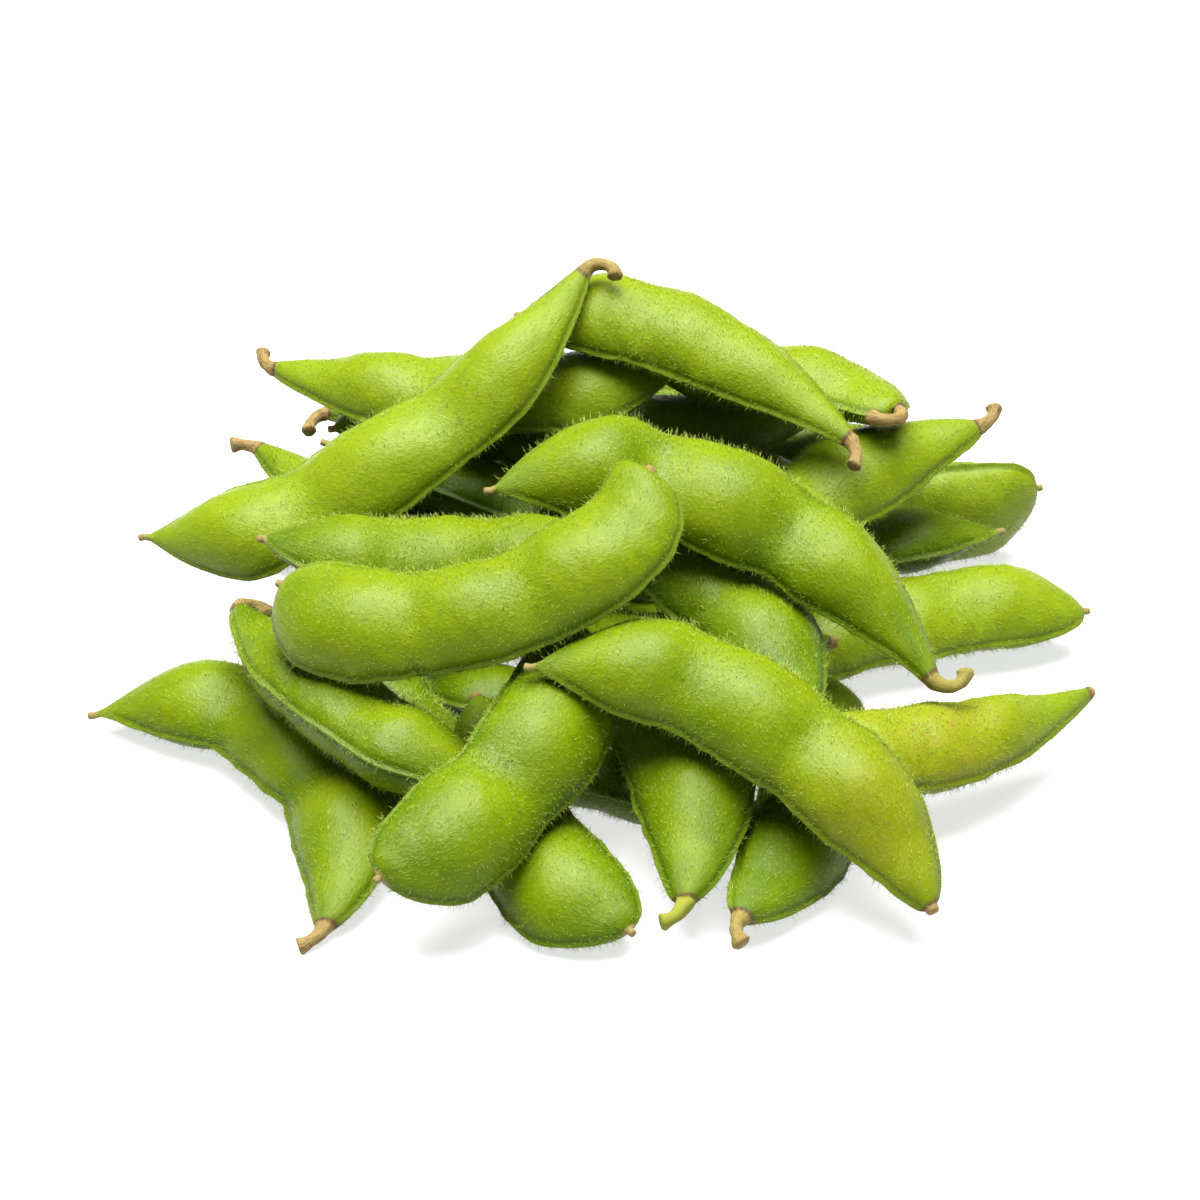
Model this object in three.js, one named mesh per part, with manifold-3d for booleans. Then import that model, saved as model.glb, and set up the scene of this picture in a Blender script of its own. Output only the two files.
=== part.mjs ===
// A heap of edamame pods on a flat surface. Millimetres, +Z up, the front towards -Y.
// Each pod is one closed body: skin, seam ribs, beak and stem grew as one piece.
import * as THREE from "three";
import Module from "manifold-3d";

// ---- one pod: it lies along +X from beak to neck, wide along Y and thin along Z ----
const THICK_SHARE = 0.7; // thickness over a bean, as a share of the width
const FLAT_SHARE = 0.68; // thickness between beans, as a share of that over a bean
const FIRST_BEAN = 12.5; // from the beak to the middle of the first bean
const LAST_BEAN = 17; // from the middle of the last bean to the neck
const BEAN_REACH = 10; // half the length of the swelling over a bean
const BEAN_POWER = 1.3; // below 2 the swelling is fuller than a plain wave
const WAIST = 0.1; // how much narrower the pod is between beans
const SHARP_BEAK = 18; // a beak as long as this comes to a point, a shorter one is rounder
const SHARP_NECK = 32; // and so does a neck as long as this
const BEAK_SHIFT = 0.65; // how far a sharp beak sits to the inner side, in half widths
const NECK_SHIFT = 0.45; // and the neck
const SHIFT_POWER = 1.6;
const NECK_RADIUS = 1.2;
const SCAR_RADIUS = 0.9; // of a neck whose stem broke off
const TIP_RADIUS = 0.5;
const TIP_AHEAD = 0.6; // the tip stands this far ahead of the centre line
const RIB = 0.4; // the seam ribs stand this far out
const RIB_FADE = 3; // where the pod is narrower than twice this, the ribs are lower
const EDGE_POWER = 1.25; // above 1 the cross-section is a lens, not an ellipse
const SIDES = 8;
const STEPS = 80; // steps along the centre line
const FIRST_RINGS = [0.7, 3, 7]; // distances of the first rings from the beak
const SHARES_BETWEEN_BEANS = [0.27, 0.5, 0.73]; // rings on the way from one bean to the next
const SHARES_TO_NECK = [0.28, 0.55, 0.8, 0.93, 1]; // and from the last bean to the neck

// ---- the stem, which goes on from the neck in an arc ----
const STEM_LENGTH = 3.5; // of a straight stem
const LENGTH_PER_DEGREE = 0.02; // more for each degree that it curls
const STEM_RADIUS = 0.95;
const KNOB_RADIUS = 1.25; // where it broke off the plant
const KNOB_SHARE = 0.85; // the knob starts this far along the stem
const STEM_STATIONS = [0.2, 0.45, 0.7, 0.9, 1];
const SCAR_LENGTH = 0.8; // what is left where a stem broke off at the neck
const SCAR_SHARE = 0.8; // its radius as a share of the neck's

// ---- looks ----
const SKIN_COLOUR = 0x97be2e; // fresh yellow-green
const SKIN_ROUGHNESS = 0.45;

// ---- the heap ----
const CELL = 0.5; // grid step of the height map
const HALF_SPAN = 95; // the map reaches this far each way
const GAP = 0.3; // clearance between pods
const PRESS = 0.35; // how far the lowest pods are pressed flat on the floor
const START_HEIGHT = 200;
const SINK_ROUNDS = 520; // rounds in which the pods sink together
const QUIET_ROUNDS = 260; // then rounds in which they only push each other apart
const SINK = 0.16; // how far a pod sinks in a round
const HOLD_PLACE = 0.04; // share of the way back to its place that a pod takes in a round
const HOLD_LIE = 0.06; // and the share of the turn back to its lie
const YIELD = 0.8; // share of an overlap that is cleared in a round
const LANDINGS = 2; // times in a round that a pod is lifted at its lowest point
const STATIONS = 20; // sections along a pod where its surface is read
const LONG_SPIN = 350; // square of the radius of gyration across the pod
const ROLL_SPIN = 22; // and round its length

const rad = THREE.MathUtils.degToRad;
const clamp = THREE.MathUtils.clamp;

// name, x, y, turn, tilt, roll, length, width, beans, bend, beak, neck, hook, lean
// x and y place the middle of the pod. turn is the way from beak to neck, tilt lifts the neck and
// roll lifts the left side. bend is the whole turn of the centre line. beak and neck are the lengths
// over which the pod narrows to its two ends.
// hook is how far the stem curls and lean tips that curl out of the pod's plane. Hook 0: no stem.
const PODS = [
  // on the floor, beneath the heap
  ["base_back", -14, 28, 15, 0, 0, 64, 14, 3, 15, 12, 22, 0, 0],
  ["base_right", 18, 26, -30, 0, 0, 56, 14, 3, -20, 12, 22, 0, 0],
  ["base_middle", -6, 8, -20, 0, 0, 60, 14, 3, 20, 12, 22, 0, 0],
  ["base_front", -1, -12, 0, 0, 0, 56, 13, 3, 15, 12, 22, 0, 0],
  ["base_left", -32, 14, 75, 0, 0, 54, 13, 2, 20, 12, 22, 0, 0],
  // on the floor at the front and the left
  ["left_bent", -38, -24, -56, 0, 0, 69, 15, 3, -90, 18, 24, 50, 180],
  ["dark_left", -25, -19, -60, 0, 0, 42, 13, 2, 15, 12, 22, 0, 0],
  ["dark_front", 6, -32, -20, 0, 0, 40, 12, 2, 20, 12, 22, 0, 0],
  ["front_tip", -12, -41, 118, 0, 0, 46, 15, 2, -20, 9, 22, 0, 0],
  ["front_steep", 9, -31, -74, -14, 10, 54, 16, 3, -35, 12, 24, 60, 180],
  ["front_lean", 24.5, -32, -97, -8, -20, 54, 14, 3, -20, 12, 20, 70, 0],
  // on the floor at the right
  ["right_flat", 36, 12, -158, 0, 0, 54, 14, 3, 15, 10, 22, 0, 0],
  ["right_low", 42, -28, 24, 0, 0, 50, 14, 3, 15, 14, 32, 0, 0],
  ["right_thin", 37, 14, -148, 0, 0, 44, 12, 2, 10, 14, 22, 0, 0],
  ["right_blunt", 40, 29, -165, 0, -75, 44, 16, 2, -20, 8, 14, 0, 0],
  // on the floor at the back and the left
  ["back_left", -25, 44, 35, 0, 0, 56, 14, 3, 20, 12, 22, 0, 0],
  ["back_stem", -12, 50, 170, 0, 0, 58, 13, 3, 10, 12, 26, 100, 0],
  ["back_right", 16, 46, -20, 0, 0, 60, 13, 3, -20, 12, 26, 80, 0],
  ["left_stem", -29, 18, 112, 8, 0, 46, 14, 2, 20, 12, 28, 60, 0],
  ["left_under", -20, 3, 20, 0, 0, 54, 14, 3, 15, 12, 22, 0, 0],
  // second layer
  ["fill_c", -16, 28, -20, 0, 0, 54, 14, 3, -20, 12, 22, 0, 0],
  ["fill_g", 24, 34, 20, 0, 0, 54, 14, 3, -20, 12, 22, 0, 0],
  ["gap_front", 6, -8, -20, 0, 0, 50, 13, 2, 20, 12, 22, 0, 0],
  ["left_hook", -30.5, -28.5, 138, 9, 30, 52, 15, 3, -15, 14, 26, 190, 180],
  ["under_right", 17, -11, -55, -15, 20, 50, 15, 3, -20, 12, 16, 0, 0],
  ["front_rise", -12, -43, 52, 24, 25, 46, 15, 2, 25, 8, 12, 0, 0],
  ["front_big", 18, -38, -29, -18, 30, 62, 15, 3, -45, 18, 22, 0, 0],
  // third layer
  ["back_low", -12, 40, 5, 0, 0, 56, 14, 3, -15, 12, 22, 0, 0],
  ["fill_d", 8, 28, 10, 0, 0, 54, 14, 3, 15, 12, 22, 0, 0],
  ["gap_side", 14, 20, -12, -5, 20, 48, 14, 3, -15, 12, 22, 0, 0],
  ["right_up", 29, 17, 41, 26, 0, 48, 15, 2, -20, 12, 24, 70, 0],
  ["back_curl", 25, 28, -28, -3, 0, 42, 14, 2, -20, 12, 12, 180, 180],
  ["top_back", -19, 32, 168, -10, -40, 60, 15, 3, -12, 14, 28, 70, 180],
  ["top_right", 14, 27, -22, -11, 10, 52, 14, 3, -30, 12, 32, 70, 180],
  // on top
  ["top_arch", 15.5, -10, -18, -19, 30, 68, 16, 3, -55, 18, 32, 150, 0],
  ["top_long", -27.5, 18, 16, 31, 30, 75, 15, 3, 40, 18, 30, 150, 180],
  ["top_cup", -15, -25, 1, 22, 50, 58, 15, 3, 85, 8, 8, 0, 0],
];

// Distances from the beak to the middle of each bean.
function beanPlaces(pod) {
  const last = pod.length - LAST_BEAN;
  const step = (last - FIRST_BEAN) / Math.max(1, pod.beans - 1);
  return Array.from({ length: pod.beans }, (_, i) => FIRST_BEAN + i * step);
}

// How full the pod is at a distance from the beak: 1 over a bean, near 0 between two.
function fullness(pod, distance) {
  let sum = 0;
  for (const place of beanPlaces(pod)) {
    const off = Math.abs(distance - place) / BEAN_REACH;
    if (off < 1) sum += Math.cos((off * Math.PI) / 2) ** BEAN_POWER;
  }
  return Math.min(1, sum);
}

// 1 where the inner side of the bend is on the left, -1 where it is on the right.
function inner(pod) {
  return Math.sign(pod.bend || 1);
}

// Half width, half thickness and sideways shift of the section at a distance from the beak.
function section(pod, distance) {
  const full = fullness(pod, distance);
  const fromBeak = clamp(distance / pod.beak, 0, 1);
  const fromNeck = clamp((pod.length - distance) / pod.neck, 0, 1);
  const rise = Math.sin((fromBeak * Math.PI) / 2) ** (pod.beak / SHARP_BEAK);
  const fall = Math.sin((fromNeck * Math.PI) / 2) ** (pod.neck / SHARP_NECK);
  const half = pod.width / 2;
  const end = pod.hook ? NECK_RADIUS : SCAR_RADIUS;
  const body = half * rise * (1 - WAIST * (1 - full));
  const across = end + (body - end) * fall;
  const thick = half * THICK_SHARE * rise * (FLAT_SHARE + (1 - FLAT_SHARE) * full);
  const through = end + (thick - end) * fall;
  const beakShift = ((BEAK_SHIFT * pod.beak) / SHARP_BEAK) * (1 - fromBeak) ** SHIFT_POWER;
  const neckShift = NECK_SHIFT * (1 - fromNeck) ** SHIFT_POWER;
  const shift = inner(pod) * half * (beakShift + neckShift);
  return {
    across: Math.max(TIP_RADIUS, across),
    through: Math.max(TIP_RADIUS, through),
    shift,
  };
}

// The centre line, as points and headings, with the beak-to-neck line along +X.
function centreLine(pod) {
  const heading = (s) => rad(pod.bend * (s - 0.5));
  const points = [new THREE.Vector2(0, 0)];
  for (let i = 0; i < STEPS; i++) {
    const angle = heading((i + 0.5) / STEPS);
    const step = new THREE.Vector2(Math.cos(angle), Math.sin(angle));
    points.push(points[i].clone().addScaledVector(step, pod.length / STEPS));
  }
  const chord = points[STEPS].angle();
  const middle = new THREE.Vector2();
  for (const p of points) {
    p.rotateAround(new THREE.Vector2(), -chord);
    middle.addScaledVector(p, 1 / (STEPS + 1));
  }
  for (const p of points) p.sub(middle);
  return (distance) => {
    const at = clamp(distance / pod.length, 0, 1) * STEPS;
    const i = Math.min(STEPS - 1, Math.floor(at));
    const place = points[i].clone().lerp(points[i + 1], at - i);
    return { place, angle: heading(at / STEPS) - chord };
  };
}

// Distances of the rings of the body: over each bean, between beans and along both ends.
function ringDistances(pod) {
  const beans = beanPlaces(pod);
  const list = [...FIRST_RINGS];
  beans.forEach((place, i) => {
    list.push(place);
    if (i < beans.length - 1) {
      const next = beans[i + 1];
      for (const share of SHARES_BETWEEN_BEANS) list.push(place + (next - place) * share);
    }
  });
  const last = beans[beans.length - 1];
  for (const share of SHARES_TO_NECK) list.push(last + (pod.length - last) * share);
  return list;
}

// One ring of the body: SIDES points round the centre line, the first on the left seam.
function bodyRing(pod, line, distance) {
  const { across, through, shift } = section(pod, distance);
  const { place, angle } = line(distance);
  const side = new THREE.Vector3(-Math.sin(angle), Math.cos(angle), 0);
  const ring = [];
  for (let k = 0; k < SIDES; k++) {
    const turn = (k / SIDES) * 2 * Math.PI;
    const onSeam = Math.abs(Math.sin(turn)) < 1e-6;
    const reach = across + (onSeam ? RIB * Math.min(1, across / RIB_FADE) : 0);
    const up = Math.sin(turn);
    const lift = through * Math.sign(up) * Math.abs(up) ** EDGE_POWER;
    ring.push(
      new THREE.Vector3(place.x, place.y, 0)
        .addScaledVector(side, shift + reach * Math.cos(turn))
        .setZ(lift),
    );
  }
  return ring;
}

// The rings of the stem, an arc that curls by hook degrees out of the neck.
function stemRings(pod, line) {
  const { place, angle: lineAngle } = line(pod.length);
  const { across, shift } = section(pod, pod.length);
  const slope = (inner(pod) * NECK_SHIFT * SHIFT_POWER * pod.width) / 2 / pod.neck;
  const angle = lineAngle + Math.atan(slope);
  const along = new THREE.Vector3(Math.cos(angle), Math.sin(angle), 0);
  const side = new THREE.Vector3(-Math.sin(angle), Math.cos(angle), 0);
  const up = new THREE.Vector3(0, 0, 1);
  const towards = side
    .clone()
    .multiplyScalar(Math.cos(rad(pod.lean)))
    .addScaledVector(up, Math.sin(rad(pod.lean)));
  const axle = along.clone().cross(towards);
  const length = pod.hook ? STEM_LENGTH + LENGTH_PER_DEGREE * pod.hook : SCAR_LENGTH;
  const whole = rad(pod.hook || 1);
  const start = new THREE.Vector3(
    place.x - shift * Math.sin(lineAngle),
    place.y + shift * Math.cos(lineAngle),
    0,
  );
  return (pod.hook ? STEM_STATIONS : [1]).map((share) => {
    const turned = whole * share;
    const bow = length / whole;
    const centre = start
      .clone()
      .addScaledVector(along, bow * Math.sin(turned))
      .addScaledVector(towards, bow * (1 - Math.cos(turned)));
    const a = side.clone().applyAxisAngle(axle, turned);
    const b = up.clone().applyAxisAngle(axle, turned);
    const stemRadius = share > KNOB_SHARE ? KNOB_RADIUS : STEM_RADIUS;
    const radius = pod.hook ? stemRadius : across * SCAR_SHARE;
    return Array.from({ length: SIDES }, (_, k) => {
      const turn = (k / SIDES) * 2 * Math.PI;
      return centre
        .clone()
        .addScaledVector(a, radius * Math.cos(turn))
        .addScaledVector(b, radius * Math.sin(turn));
    });
  });
}

// The pod's points and triangles in its own frame.
function podShape(pod) {
  const line = centreLine(pod);
  const rings = ringDistances(pod).map((distance) => bodyRing(pod, line, distance));
  rings.push(...stemRings(pod, line));
  const { place, angle } = line(0);
  const { shift } = section(pod, 0);
  const tip = new THREE.Vector3(
    place.x - TIP_AHEAD * Math.cos(angle) - shift * Math.sin(angle),
    place.y - TIP_AHEAD * Math.sin(angle) + shift * Math.cos(angle),
    0,
  );
  const end = rings[rings.length - 1]
    .reduce((sum, p) => sum.add(p), new THREE.Vector3())
    .divideScalar(SIDES);
  const points = [tip, ...rings.flat(), end];
  const faces = [];
  const at = (ring, k) => 1 + ring * SIDES + (k % SIDES);
  for (let k = 0; k < SIDES; k++) {
    faces.push([0, at(0, k + 1), at(0, k)]);
    for (let r = 0; r < rings.length - 1; r++) {
      faces.push([at(r, k), at(r, k + 1), at(r + 1, k)]);
      faces.push([at(r, k + 1), at(r + 1, k + 1), at(r + 1, k)]);
    }
    faces.push([points.length - 1, at(rings.length - 1, k), at(rings.length - 1, k + 1)]);
  }
  return { points, faces };
}

// ---- settling ----
const CELLS = Math.round((2 * HALF_SPAN) / CELL);
const heap = new Float32Array(CELLS * CELLS).fill(-PRESS - GAP);

// Calls see(cell, z) for each grid cell under each triangle.
function eachCell(points, faces, see) {
  const column = (v) => (v + HALF_SPAN) / CELL - 0.5;
  for (const [i, j, k] of faces) {
    const [a, b, c] = [points[i], points[j], points[k]];
    const [ax, ay, bx, by] = [column(a.x), column(a.y), column(b.x), column(b.y)];
    const [cx, cy] = [column(c.x), column(c.y)];
    const area = (bx - ax) * (cy - ay) - (cx - ax) * (by - ay);
    if (Math.abs(area) < 1e-9) continue;
    const x0 = Math.ceil(Math.min(ax, bx, cx));
    const x1 = Math.floor(Math.max(ax, bx, cx));
    const y0 = Math.ceil(Math.min(ay, by, cy));
    const y1 = Math.floor(Math.max(ay, by, cy));
    for (let y = y0; y <= y1; y++) {
      for (let x = x0; x <= x1; x++) {
        const u = ((bx - x) * (cy - y) - (cx - x) * (by - y)) / area;
        const v = ((cx - x) * (ay - y) - (ax - x) * (cy - y)) / area;
        const w = 1 - u - v;
        if (u >= 0 && v >= 0 && w >= 0) see(y * CELLS + x, u * a.z + v * b.z + w * c.z);
      }
    }
  }
}

// A pod as a rigid body: its shape, its sections for reading distances, and its place and lie.
function bodyOf(pod) {
  const { points, faces } = podShape(pod);
  const line = centreLine(pod);
  const sections = [];
  for (let i = 0; i <= STATIONS; i++) {
    const distance = (pod.length * i) / STATIONS;
    const { across, through, shift } = section(pod, distance);
    const { place, angle } = line(distance);
    const x = place.x - shift * Math.sin(angle);
    const y = place.y + shift * Math.cos(angle);
    sections.push({ x, y, across: across + RIB, through });
  }
  const beads = stemRings(pod, line).map((ring) =>
    ring.reduce((sum, p) => sum.addScaledVector(p, 1 / SIDES), new THREE.Vector3()),
  );
  const lie = new THREE.Quaternion();
  for (const [axis, angle] of [["z", pod.turn], ["y", -pod.tilt], ["x", pod.roll]]) {
    const unit = new THREE.Vector3().setComponent("xyz".indexOf(axis), 1);
    lie.multiply(new THREE.Quaternion().setFromAxisAngle(unit, rad(angle)));
  }
  return {
    pod,
    points,
    faces,
    sections,
    beads,
    place: new THREE.Vector3(pod.x, pod.y, START_HEIGHT),
    lie,
    firstLie: lie.clone(),
    world: points.map((p) => p.clone()),
    box: new THREE.Box3(),
  };
}

// Puts the body's points where its place and lie say.
function pose(body) {
  body.box.makeEmpty();
  body.points.forEach((p, i) => {
    body.world[i].copy(p).applyQuaternion(body.lie).add(body.place);
    body.box.expandByPoint(body.world[i]);
  });
  body.back = body.lie.clone().conjugate();
}

// The gap from a point in a body's own frame to its surface, below 0 inside, and the way out.
function surfaceGap(body, p, out) {
  let best = Infinity;
  let near = null;
  const { sections } = body;
  for (let i = 0; i < STATIONS; i++) {
    const a = sections[i];
    const b = sections[i + 1];
    const dx = b.x - a.x;
    const dy = b.y - a.y;
    const share = clamp(((p.x - a.x) * dx + (p.y - a.y) * dy) / (dx * dx + dy * dy), 0, 1);
    const ox = p.x - a.x - share * dx;
    const oy = p.y - a.y - share * dy;
    if (ox * ox + oy * oy < best) {
      best = ox * ox + oy * oy;
      near = { a, b, share, ox, oy, dx, dy };
    }
  }
  const { a, b, share, ox, oy, dx, dy } = near;
  const span = Math.hypot(dx, dy);
  const across = a.across + (b.across - a.across) * share;
  const through = a.through + (b.through - a.through) * share;
  const side = (oy * dx - ox * dy) / span;
  const ahead = (ox * dx + oy * dy) / span;
  const size = Math.hypot(side / across, p.z / through, ahead / through);
  const gs = side / across ** 2;
  const ga = ahead / through ** 2;
  out.set((ga * dx - gs * dy) / span, (ga * dy + gs * dx) / span, p.z / through ** 2);
  const slope = out.length() || 1;
  out.divideScalar(slope);
  let gap = (size * (size - 1)) / slope;
  for (const bead of body.beads) {
    const toBead = p.distanceTo(bead) - KNOB_RADIUS;
    if (toBead < gap) {
      gap = toBead;
      out.copy(p).sub(bead).normalize();
    }
  }
  return gap;
}

const spin = new THREE.Vector3(1 / ROLL_SPIN, 1 / LONG_SPIN, 1 / LONG_SPIN);

// How easily a push along a direction at a point moves the body, and the turn that it gives.
function ease(body, at, way) {
  const turn = at.clone().sub(body.place).cross(way).applyQuaternion(body.back);
  const given = turn.clone().multiply(spin);
  return { total: 1 + turn.dot(given), given: given.applyQuaternion(body.lie) };
}

function nudge(body, way, amount, given) {
  body.place.addScaledVector(way, amount);
  const angle = given.length() * amount;
  const axis = given.clone().normalize();
  body.lie.premultiply(new THREE.Quaternion().setFromAxisAngle(axis, angle)).normalize();
  pose(body);
}

// Pushes two bodies apart at the point of one that lies deepest in the other.
function part(body, other) {
  const local = new THREE.Vector3();
  const out = new THREE.Vector3();
  let deepest = GAP;
  let at = null;
  let way = null;
  const reach = other.box.clone().expandByScalar(GAP);
  for (const p of body.world) {
    if (!reach.containsPoint(p)) continue;
    local.copy(p).sub(other.place).applyQuaternion(other.back);
    const gap = surfaceGap(other, local, out);
    if (gap < deepest) {
      deepest = gap;
      at = p.clone();
      way = out.clone();
    }
  }
  if (!at) return;
  way.applyQuaternion(other.lie);
  const mine = ease(body, at, way);
  const theirs = ease(other, at, way);
  const amount = (YIELD * (GAP - deepest)) / (mine.total + theirs.total);
  nudge(body, way, amount, mine.given);
  nudge(other, way, -amount, theirs.given);
}

// Lifts a body off the floor at its lowest point.
function land(body) {
  const up = new THREE.Vector3(0, 0, 1);
  for (let i = 0; i < LANDINGS; i++) {
    const low = body.world.reduce((a, b) => (b.z < a.z ? b : a)).clone();
    if (low.z >= -PRESS) return;
    const push = ease(body, low, up);
    nudge(body, up, (-PRESS - low.z) / push.total, push.given);
  }
}

// Lets a body down straight onto those before it.
function lower(body) {
  pose(body);
  let drop = Infinity;
  eachCell(body.world, body.faces, (cell, z) => {
    drop = Math.min(drop, z - heap[cell] - GAP);
  });
  body.place.z -= drop;
  pose(body);
  eachCell(body.world, body.faces, (cell, z) => {
    heap[cell] = Math.max(heap[cell], z);
  });
}

function settle(bodies) {
  bodies.forEach(lower);
  for (let round = 0; round < SINK_ROUNDS + QUIET_ROUNDS; round++) {
    const sinking = round < SINK_ROUNDS;
    for (const body of bodies) {
      if (!sinking) break;
      body.place.z -= SINK;
      body.place.x += (body.pod.x - body.place.x) * HOLD_PLACE;
      body.place.y += (body.pod.y - body.place.y) * HOLD_PLACE;
      body.lie.slerp(body.firstLie, HOLD_LIE);
      pose(body);
    }
    for (let i = 0; i < bodies.length; i++) {
      land(bodies[i]);
      for (let j = i + 1; j < bodies.length; j++) {
        if (!bodies[i].box.intersectsBox(bodies[j].box)) continue;
        part(bodies[j], bodies[i]);
        part(bodies[i], bodies[j]);
      }
    }
  }
}

// Presses a pod that reaches under the floor flat at the floor.
const kit = await Module();
kit.setup();
function pressed(points, faces) {
  const flat = new Float32Array(points.flatMap((p) => [p.x, p.y, p.z]));
  const triVerts = new Uint32Array(faces.flat());
  const mesh = new kit.Mesh({ numProp: 3, vertProperties: flat, triVerts });
  const cut = new kit.Manifold(mesh).trimByPlane([0, 0, 1], 0).getMesh();
  const geometry = new THREE.BufferGeometry();
  const kept = new Float32Array(cut.numVert * 3);
  for (let i = 0; i < cut.numVert; i++) {
    for (let j = 0; j < 3; j++) kept[i * 3 + j] = cut.vertProperties[i * cut.numProp + j];
  }
  geometry.setAttribute("position", new THREE.BufferAttribute(kept, 3));
  geometry.setIndex(new THREE.BufferAttribute(cut.triVerts, 1));
  return geometry;
}

const COLUMNS = [
  "name",
  "x",
  "y",
  "turn",
  "tilt",
  "roll",
  "length",
  "width",
  "beans",
  "bend",
  "beak",
  "neck",
  "hook",
  "lean",
];
const bodies = PODS.map((row) =>
  bodyOf(Object.fromEntries(COLUMNS.map((column, i) => [column, row[i]]))),
);
settle(bodies);

const bundle = new THREE.Group();
bundle.name = "edamame_bundle";
for (const { pod, world, faces } of bodies) {
  const skin = new THREE.MeshStandardMaterial({ color: SKIN_COLOUR, roughness: SKIN_ROUGHNESS });
  skin.name = `skin_${pod.name}`;
  const mesh = new THREE.Mesh(pressed(world, faces), skin);
  mesh.name = `pod_${pod.name}`;
  bundle.add(mesh);
}

// The row's origin is the middle of the footprint, on the floor.
const box = new THREE.Box3().setFromObject(bundle);
const middle = box.getCenter(new THREE.Vector3());
for (const mesh of bundle.children) mesh.position.set(-middle.x, -middle.y, -box.min.z);

export default bundle;
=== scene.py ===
"""A bundle of edamame pods: fine pods, down, finish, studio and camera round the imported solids."""
import math

import bpy
import numpy as np
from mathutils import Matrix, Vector


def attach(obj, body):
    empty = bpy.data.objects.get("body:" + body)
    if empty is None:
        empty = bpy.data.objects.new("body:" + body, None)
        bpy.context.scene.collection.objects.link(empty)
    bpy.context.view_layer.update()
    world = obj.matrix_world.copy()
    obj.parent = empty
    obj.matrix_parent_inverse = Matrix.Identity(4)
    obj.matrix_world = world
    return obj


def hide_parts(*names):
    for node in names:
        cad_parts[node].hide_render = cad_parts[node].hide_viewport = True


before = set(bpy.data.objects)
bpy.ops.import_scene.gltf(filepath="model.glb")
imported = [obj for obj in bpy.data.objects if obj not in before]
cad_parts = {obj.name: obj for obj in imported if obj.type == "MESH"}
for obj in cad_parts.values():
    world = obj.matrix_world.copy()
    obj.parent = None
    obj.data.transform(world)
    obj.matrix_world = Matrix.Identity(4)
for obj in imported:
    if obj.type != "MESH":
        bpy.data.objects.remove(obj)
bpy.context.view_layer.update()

MM = 0.001

# ---- a pod's form, the same as its solid's: it lies along +X from beak to neck, in millimetres ----
THICK_SHARE = 0.7  # thickness over a bean, as a share of the width
FLAT_SHARE = 0.68  # thickness between beans, as a share of that over a bean
FIRST_BEAN = 12.5  # from the beak to the middle of the first bean
LAST_BEAN = 17  # from the middle of the last bean to the neck
BEAN_REACH = 10  # half the length of the swelling over a bean
BEAN_POWER = 1.3  # below 2 the swelling is fuller than a plain wave
WAIST = 0.1  # how much narrower the pod is between beans
SHARP_BEAK = 18  # a beak as long as this comes to a point, a shorter one is rounder
SHARP_NECK = 32  # and so does a neck as long as this
BEAK_SHIFT = 0.65  # how far a sharp beak sits to the inner side, in half widths
NECK_SHIFT = 0.45  # and the neck
SHIFT_POWER = 1.6
NECK_RADIUS = 1.2
SCAR_RADIUS = 0.9  # of a neck whose stem broke off
TIP_RADIUS = 0.5
RIB = 0.4  # the seam ribs stand this far out
RIB_FADE = 3  # where the pod is narrower than twice this, the ribs are lower
EDGE_POWER = 1.25  # above 1 the cross-section is a lens, not an ellipse
STEPS = 80  # steps along the centre line

# ---- the stem, which goes on from the neck in an arc ----
STEM_LENGTH = 3.5  # of a straight stem
LENGTH_PER_DEGREE = 0.02  # more for each degree that it curls
SCAR_LENGTH = 0.8  # what is left where a stem broke off at the neck

# ---- how the solids are divided, to match their corners ----
SOLID_SIDES = 8
SOLID_FIRST_RINGS = (0.7, 3, 7)
SOLID_BEAN_SHARES = (0.27, 0.5, 0.73)
SOLID_NECK_SHARES = (0.28, 0.55, 0.8, 0.93, 1)
SOLID_STEM_SHARES = (0.2, 0.45, 0.7, 0.9, 1)
SOLID_STEM_RADIUS = 0.95
SOLID_KNOB_RADIUS = 1.25
SOLID_KNOB_SHARE = 0.85
SOLID_SCAR_SHARE = 0.8
AT_SEAM = 1e-6  # a corner whose turn has a smaller sine than this is on a seam

# ---- how the fine pods are divided ----
SIDES = 56
SEAM_CROWDING = 0.36  # above 0 the sides stand closer together at the seams
BODY_RINGS = 84
END_CROWDING = 0.55  # and the rings closer together at the ends
STEM_RINGS = 16
SCAR_RINGS = 4

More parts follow.
